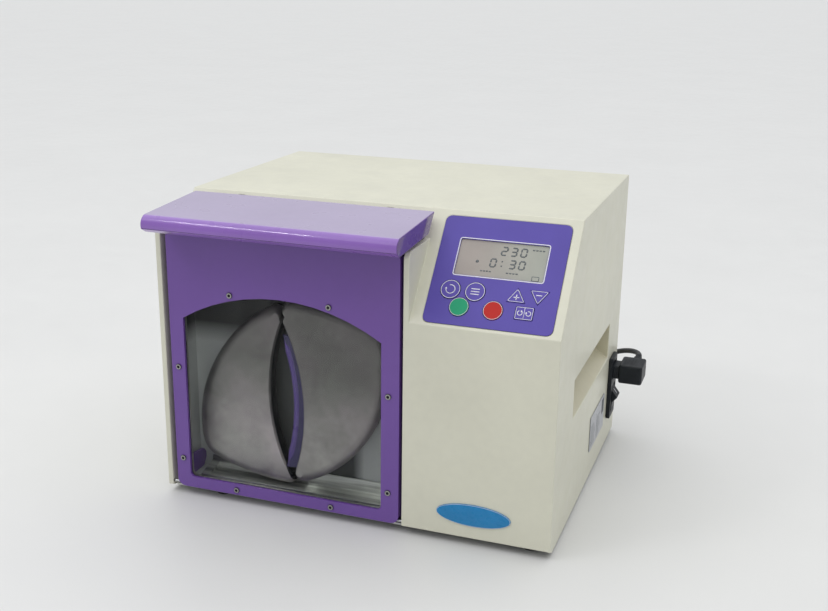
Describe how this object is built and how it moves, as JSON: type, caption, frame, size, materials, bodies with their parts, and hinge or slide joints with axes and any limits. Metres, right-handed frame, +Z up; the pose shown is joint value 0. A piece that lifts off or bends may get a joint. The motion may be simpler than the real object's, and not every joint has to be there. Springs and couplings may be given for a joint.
{
  "type": "laboratory paddle blender",
  "caption": "Bench-top laboratory paddle blender for sample bags: glazed drop-down door, lifting hood handle, two reciprocating paddles, sloped keypad, mains inlet and lead.",
  "frame": {"origin": "middle of the bare machine's footprint, on the bench (lead and plugs left out)", "axes": "+Z up, -Y to the front (door and keypad side), +X to the operator's right, the control side"},
  "size_m": [0.437, 0.4776, 0.304],
  "materials": {
    "cream_paint": "fine textured semi-gloss powder coat, warm off-white",
    "purple_paint": "glossy purple paint",
    "grey_paint": "satin light grey paint",
    "stainless": "brushed",
    "steel": "ground",
    "zinc_steel": "zinc plated",
    "paddle_metal": "satin, softly mottled",
    "cast_aluminium": "cast, matt",
    "bronze": "plain bearing bronze",
    "window_glass": "clear",
    "label_film": "satin printed film, violet blue",
    "key_green": "satin",
    "key_red": "satin",
    "lcd_glass": "grey green display",
    "board_green": "solder mask",
    "badge_blue": "domed",
    "silver_label": "silver film",
    "black_plastic": "moulded, fine texture",
    "black_rubber": "matt",
    "cord_pvc": "satin PVC sheath"
  },
  "bodies": {
    "housing": {"outer_cover": "cream_paint", "rear_panel": "cream_paint", "base_plate": "zinc_steel", "chamber_liner": "grey_paint", "drip_tray": "stainless", "hood_hinge_rod": "steel", "door_pin_left": "steel", "door_pin_right": "steel", "shaft_bush_left": "bronze", "shaft_bush_right": "bronze", "drive_frame": "zinc_steel", "crank_bearing_left": "cast_aluminium", "crank_bearing_right": "cast_aluminium", "motor_body": "cast_aluminium", "drive_belt": "black_rubber", "power_supply": "zinc_steel", "control_label": "label_film", "lcd_display": "lcd_glass", "control_board": "board_green", "name_badge": "badge_blue", "rating_plate": "silver_label", "power_inlet": "black_plastic", "iec_plug": "black_plastic", "mains_plug": "black_plastic", "power_cord": "cord_pvc", "cord_coil": "cord_pvc", "cord_tail": "cord_pvc", "foot_front_left": "black_rubber", "foot_front_right": "black_rubber", "foot_rear_left": "black_rubber", "foot_rear_right": "black_rubber"},
    "door": {"door_panel": "purple_paint", "door_window": "window_glass", "window_frame": "zinc_steel", "window_screw_1": "stainless", "window_screw_2": "stainless", "window_screw_3": "stainless", "window_screw_4": "stainless", "window_screw_5": "stainless", "window_screw_6": "stainless", "window_screw_7": "stainless", "window_screw_8": "stainless"},
    "hood": {"handle_hood": "purple_paint", "hood_arm_left": "zinc_steel", "hood_arm_right": "zinc_steel"},
    "crank": {"crankshaft": "steel", "crank_pulley": "cast_aluminium"},
    "left_paddle": {"paddle_left": "paddle_metal", "paddle_shaft_left": "steel"},
    "right_paddle": {"paddle_right": "paddle_metal", "paddle_shaft_right": "steel"},
    "motor_rotor": {"motor_pulley": "cast_aluminium"},
    "power_rocker": {"rocker_switch": "black_plastic"},
    "auto_button": {"key_auto": "label_film"},
    "program_button": {"key_program": "label_film"},
    "start_button": {"key_start": "key_green"},
    "stop_button": {"key_stop": "key_red"},
    "up_button": {"key_up": "label_film"},
    "down_button": {"key_down": "label_film"},
    "direction_button": {"key_direction": "label_film"}
  },
  "joints": [
    {"name": "door_swing", "type": "hinge", "parent": "housing", "child": "door", "pos_m": [-0.074, -0.14, 0.0122], "axis": [1, 0, 0], "range_deg": [0, 90]},
    {"name": "hood_lift", "type": "hinge", "parent": "housing", "child": "hood", "pos_m": [-0.07, -0.064, 0.292], "axis": [-1, 0, 0], "range_deg": [0, 45]},
    {"name": "crank_turn", "type": "hinge", "parent": "housing", "child": "crank", "pos_m": [-0.0785, -0.036, 0.115], "axis": [1, 0, 0], "range_deg": [0, 180]},
    {"name": "right_paddle_travel", "type": "slide", "parent": "housing", "child": "right_paddle", "axis": [0, 1, 0], "range_m": [0, 0.012]},
    {"name": "left_paddle_travel", "type": "slide", "parent": "housing", "child": "left_paddle", "axis": [0, -1, 0], "range_m": [0, 0.012]},
    {"name": "motor_turn", "type": "hinge", "parent": "housing", "child": "motor_rotor", "pos_m": [0.0655, 0.064, 0.062], "axis": [1, 0, 0], "range_deg": [0, 450]},
    {"name": "power_toggle", "type": "hinge", "parent": "housing", "child": "power_rocker", "pos_m": [0.1925, 0.141, 0.056], "axis": [0, -1, 0], "range_deg": [0, 25]},
    {"name": "auto_press", "type": "slide", "parent": "housing", "child": "auto_button", "axis": [0, 0.7634, -0.6459], "range_m": [0, 0.0006], "stiffness_N_per_m": 800, "springref_m": -0.0005},
    {"name": "program_press", "type": "slide", "parent": "housing", "child": "program_button", "axis": [0, 0.7634, -0.6459], "range_m": [0, 0.0006], "stiffness_N_per_m": 800, "springref_m": -0.0005},
    {"name": "start_press", "type": "slide", "parent": "housing", "child": "start_button", "axis": [0, 0.7634, -0.6459], "range_m": [0, 0.0006], "stiffness_N_per_m": 800, "springref_m": -0.0005},
    {"name": "stop_press", "type": "slide", "parent": "housing", "child": "stop_button", "axis": [0, 0.7634, -0.6459], "range_m": [0, 0.0006], "stiffness_N_per_m": 800, "springref_m": -0.0005},
    {"name": "up_press", "type": "slide", "parent": "housing", "child": "up_button", "axis": [0, 0.7634, -0.6459], "range_m": [0, 0.0006], "stiffness_N_per_m": 800, "springref_m": -0.0005},
    {"name": "down_press", "type": "slide", "parent": "housing", "child": "down_button", "axis": [0, 0.7634, -0.6459], "range_m": [0, 0.0006], "stiffness_N_per_m": 800, "springref_m": -0.0005},
    {"name": "direction_press", "type": "slide", "parent": "housing", "child": "direction_button", "axis": [0, 0.7634, -0.6459], "range_m": [0, 0.0006], "stiffness_N_per_m": 800, "springref_m": -0.0005}
  ],
  "couplings": [
    {"joint": "right_paddle_travel", "follows": "crank_turn", "m_per_rad": 0.0038197},
    {"joint": "left_paddle_travel", "follows": "crank_turn", "m_per_rad": 0.0038197},
    {"joint": "motor_turn", "follows": "crank_turn", "ratio": 2.5}
  ]
}
